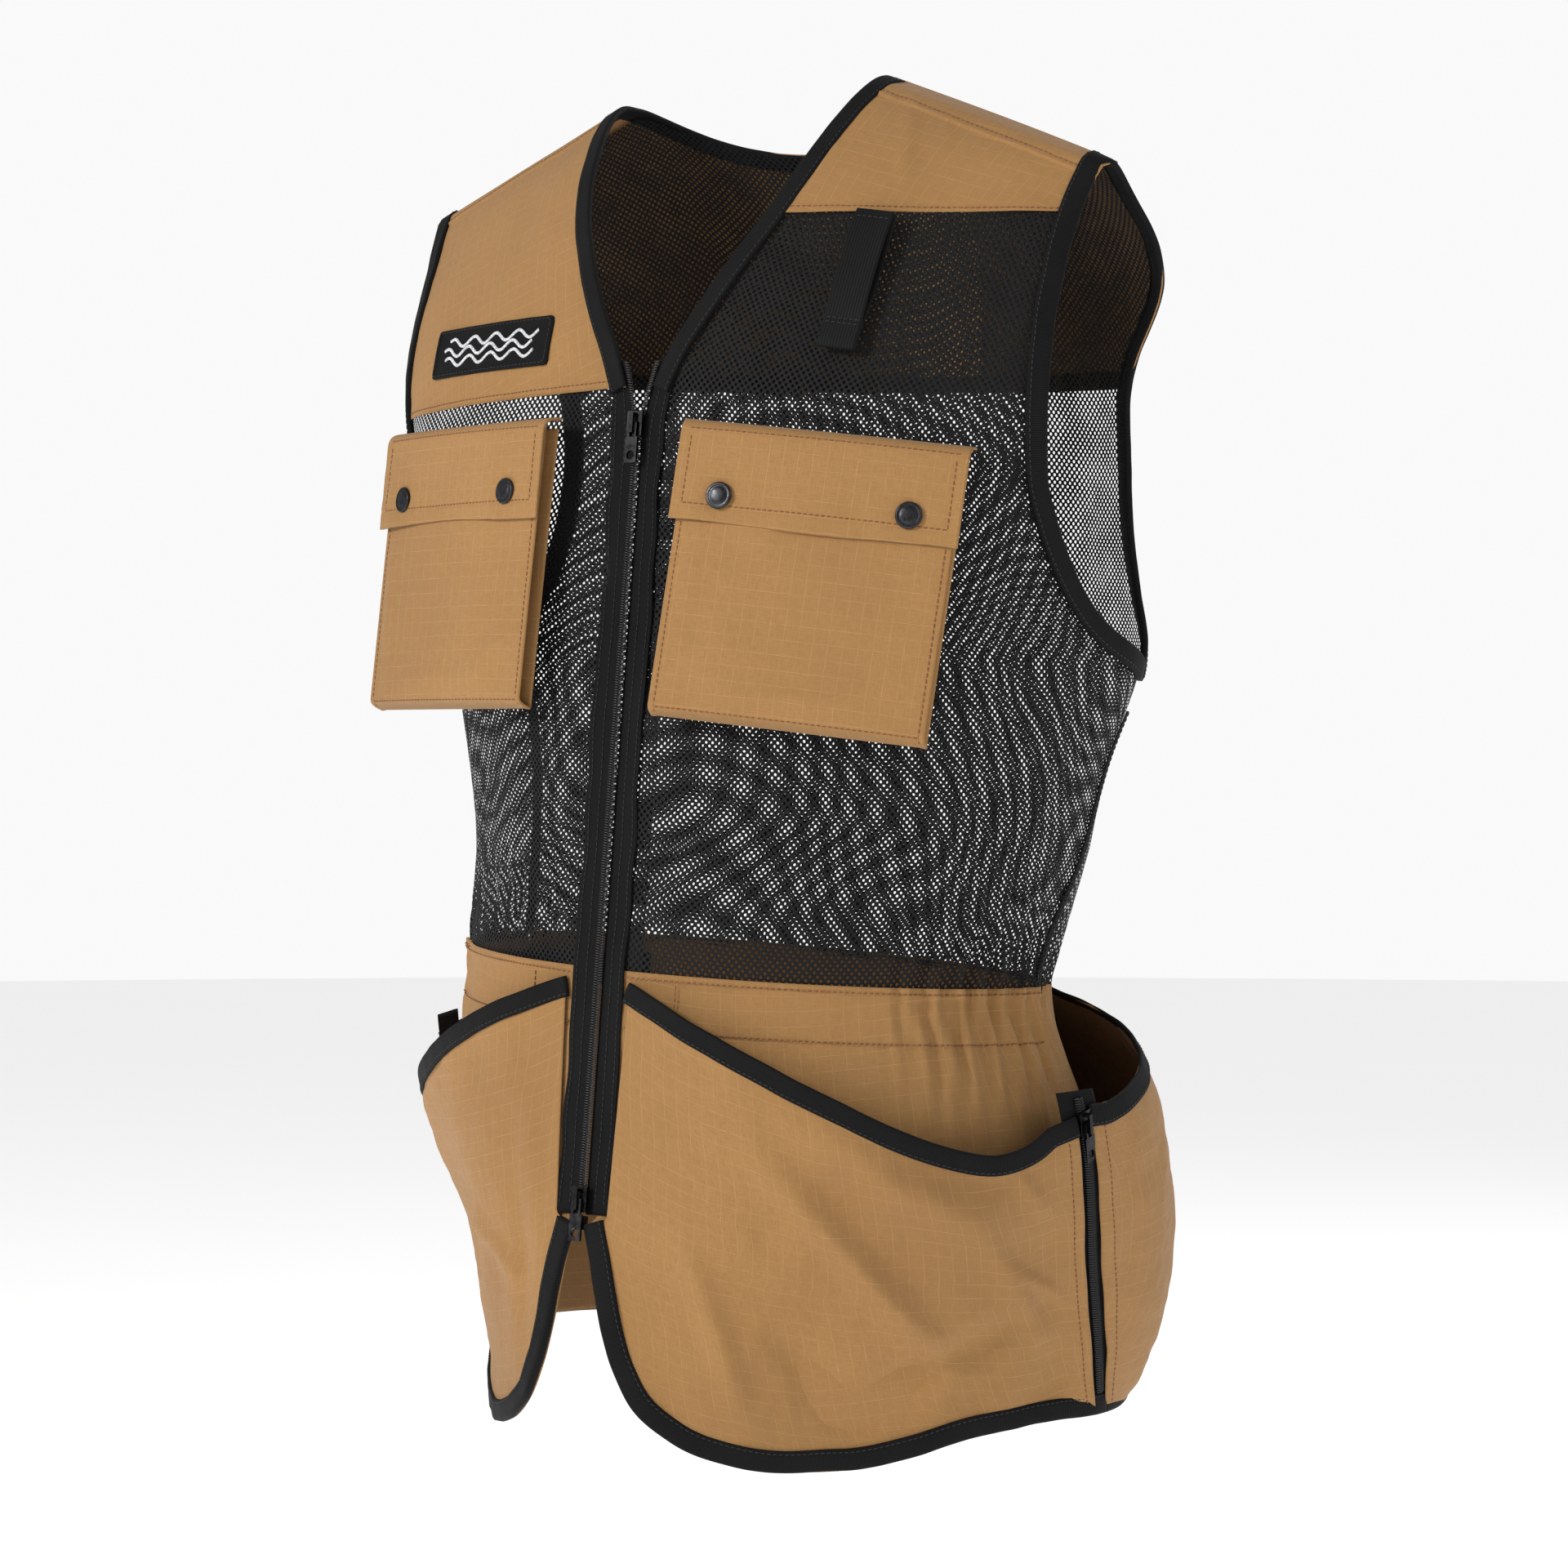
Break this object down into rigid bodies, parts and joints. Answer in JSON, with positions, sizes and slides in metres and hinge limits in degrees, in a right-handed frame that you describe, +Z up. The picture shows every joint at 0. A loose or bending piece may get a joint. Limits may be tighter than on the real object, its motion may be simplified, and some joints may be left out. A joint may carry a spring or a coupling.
{
  "type": "field vest",
  "caption": "Sleeveless mesh vest with cloth yokes, a two-way front zip, snap-flap chest pockets, zipped hand pockets and a large back pouch.",
  "frame": {"origin": "midway between the two high points of the shoulders, where the vest hangs from the wearer", "axes": "+Z up, -Y the way the wearer faces, +X the wearer's left"},
  "size_m": [0.45, 0.34, 0.7189],
  "materials": {
    "mesh": "black open warp-knit mesh",
    "ripstop": "coyote brown ripstop cloth",
    "tape": "black ribbed grosgrain tape",
    "coil": "black nylon coil",
    "metal": "black gunmetal",
    "elastic": "knitted elastic"
  },
  "bodies": {
    "vest": {"front_mesh_left": "mesh", "front_yoke_left": "ripstop", "armhole_binding_left": "tape", "front_mesh_right": "mesh", "front_yoke_right": "ripstop", "armhole_binding_right": "tape", "back_mesh": "mesh", "back_yoke": "ripstop", "neck_binding": "tape", "skirt_left": "ripstop", "hand_pocket_left": "ripstop", "hem_binding_left": "tape", "pocket_binding_left": "tape", "pouch_binding_left": "tape", "waist_elastic_left": "elastic", "skirt_right": "ripstop", "hand_pocket_right": "ripstop", "hem_binding_right": "tape", "pocket_binding_right": "tape", "pouch_binding_right": "tape", "waist_elastic_right": "elastic", "skirt_back": "ripstop", "back_pouch": "ripstop", "back_hem_binding": "tape", "front_zip_tape_left": "tape", "front_zip_coil_left": "coil", "front_zip_tape_right": "tape", "front_zip_coil_right": "coil", "front_zip_box": "metal", "side_zip_tape_left": "tape", "side_zip_coil_left": "coil", "side_zip_tape_right": "tape", "side_zip_coil_right": "coil", "chest_pocket_left": "ripstop", "snap_stud_left_inner": "metal", "snap_stud_left_outer": "metal", "chest_pocket_right": "ripstop", "snap_stud_right_inner": "metal", "snap_stud_right_outer": "metal", "chest_patch": "tape"},
    "front_zip_top_slider": {"front_zip_top_slider": "metal"},
    "front_zip_top_pull": {"front_zip_top_pull": "metal"},
    "front_zip_bottom_slider": {"front_zip_bottom_slider": "metal"},
    "front_zip_bottom_pull": {"front_zip_bottom_pull": "metal"},
    "side_zip_left_slider": {"side_zip_left_slider": "metal"},
    "side_zip_left_pull": {"side_zip_left_pull": "metal"},
    "side_zip_right_slider": {"side_zip_right_slider": "metal"},
    "side_zip_right_pull": {"side_zip_right_pull": "metal"},
    "chest_flap_left": {"chest_flap_left": "ripstop", "snap_socket_left_inner": "metal", "snap_socket_left_outer": "metal", "snap_cap_left_inner": "metal", "snap_cap_left_outer": "metal"},
    "chest_flap_right": {"chest_flap_right": "ripstop", "snap_socket_right_inner": "metal", "snap_socket_right_outer": "metal", "snap_cap_right_inner": "metal", "snap_cap_right_outer": "metal"},
    "webbing_loop": {"webbing_loop": "tape"}
  },
  "joints": [
    {"name": "front_zip_top_slide", "type": "slide", "parent": "vest", "child": "front_zip_top_slider", "axis": [0, -0.1172, -0.9931], "range_m": [0, 0.25]},
    {"name": "front_zip_bottom_slide", "type": "slide", "parent": "vest", "child": "front_zip_bottom_slider", "axis": [0, 0.1172, 0.9931], "range_m": [0, 0.1]},
    {"name": "side_zip_left_slide", "type": "slide", "parent": "vest", "child": "side_zip_left_slider", "axis": [-0.12, 0.328, -0.937], "range_m": [0, 0.118]},
    {"name": "side_zip_right_slide", "type": "slide", "parent": "vest", "child": "side_zip_right_slider", "axis": [0.1182, 0.3233, -0.9389], "range_m": [0, 0.118]},
    {"name": "front_zip_top_pull_hinge", "type": "hinge", "parent": "front_zip_top_slider", "child": "front_zip_top_pull", "pos_m": [0, -0.11061, -0.18436], "axis": [-1, 0, 0], "range_deg": [0, 150]},
    {"name": "front_zip_bottom_pull_hinge", "type": "hinge", "parent": "front_zip_bottom_slider", "child": "front_zip_bottom_pull", "pos_m": [0, -0.15748, -0.58155], "axis": [-1, 0, 0], "range_deg": [0, 150]},
    {"name": "side_zip_left_pull_hinge", "type": "hinge", "parent": "side_zip_left_slider", "child": "side_zip_left_pull", "pos_m": [0.21144, -0.00753, -0.54326], "axis": [-0.1102, -0.9424, -0.3158], "range_deg": [0, 150]},
    {"name": "side_zip_right_pull_hinge", "type": "hinge", "parent": "side_zip_right_slider", "child": "side_zip_right_pull", "pos_m": [-0.21146, -0.00759, -0.51615], "axis": [-0.1104, 0.9439, 0.3111], "range_deg": [0, 150]},
    {"name": "chest_flap_left_hinge", "type": "hinge", "parent": "vest", "child": "chest_flap_left", "pos_m": [0.11804, -0.10925, -0.19606], "axis": [-0.9458, -0.3018, 0.1201], "range_deg": [0, 120]},
    {"name": "chest_flap_right_hinge", "type": "hinge", "parent": "vest", "child": "chest_flap_right", "pos_m": [-0.11782, -0.10932, -0.18134], "axis": [-0.9526, 0.304, 0.009], "range_deg": [0, 120]},
    {"name": "webbing_loop_hinge", "type": "hinge", "parent": "vest", "child": "webbing_loop", "pos_m": [0.119, -0.06, -0.08], "axis": [-0.9701, -0.1834, 0.1587], "range_deg": [0, 35]}
  ]
}
